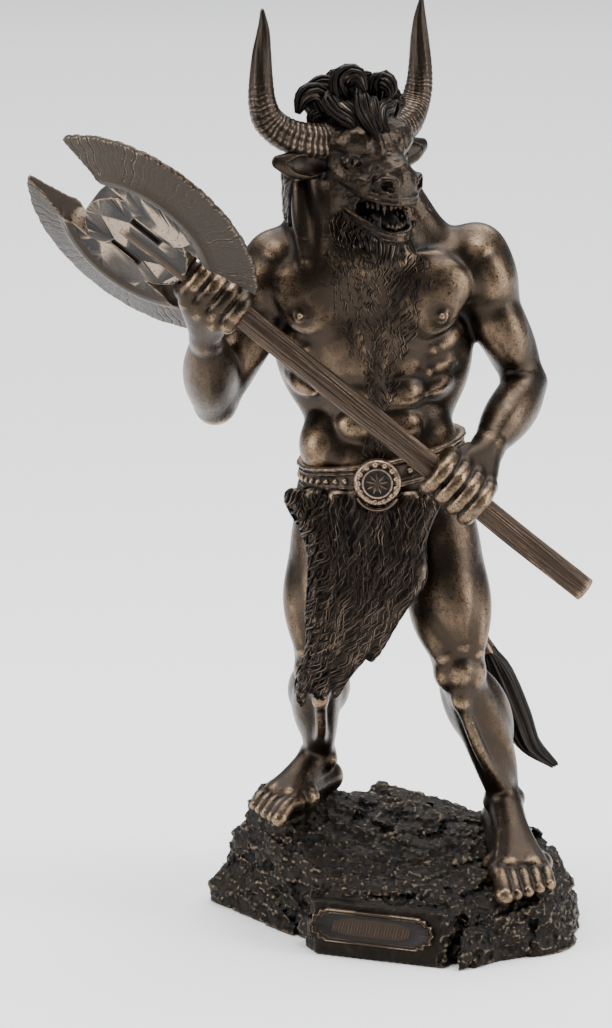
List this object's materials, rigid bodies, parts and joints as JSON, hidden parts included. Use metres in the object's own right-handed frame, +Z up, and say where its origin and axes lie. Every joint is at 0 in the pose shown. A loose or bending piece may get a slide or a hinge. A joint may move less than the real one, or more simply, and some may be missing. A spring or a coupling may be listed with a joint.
{
  "type": "minotaur statue",
  "caption": "Standing figure of a bull-headed man gripping a two-bladed axe across the body, on a rough rock base with a nameplate.",
  "frame": {"origin": "centre of the underside of the rock base", "axes": "+Z up through the figure, -Y out of the nameplate, +X to the right of someone who faces the nameplate"},
  "size_m": [0.1761, 0.1401, 0.3073],
  "materials": {
    "bronze": "rubbed satin",
    "axe_bronze": "rubbed satin",
    "dark_bronze": "dark patina"
  },
  "bodies": {
    "root": {"figure": "bronze", "axe": "axe_bronze", "base": "dark_bronze"}
  },
  "joints": []
}
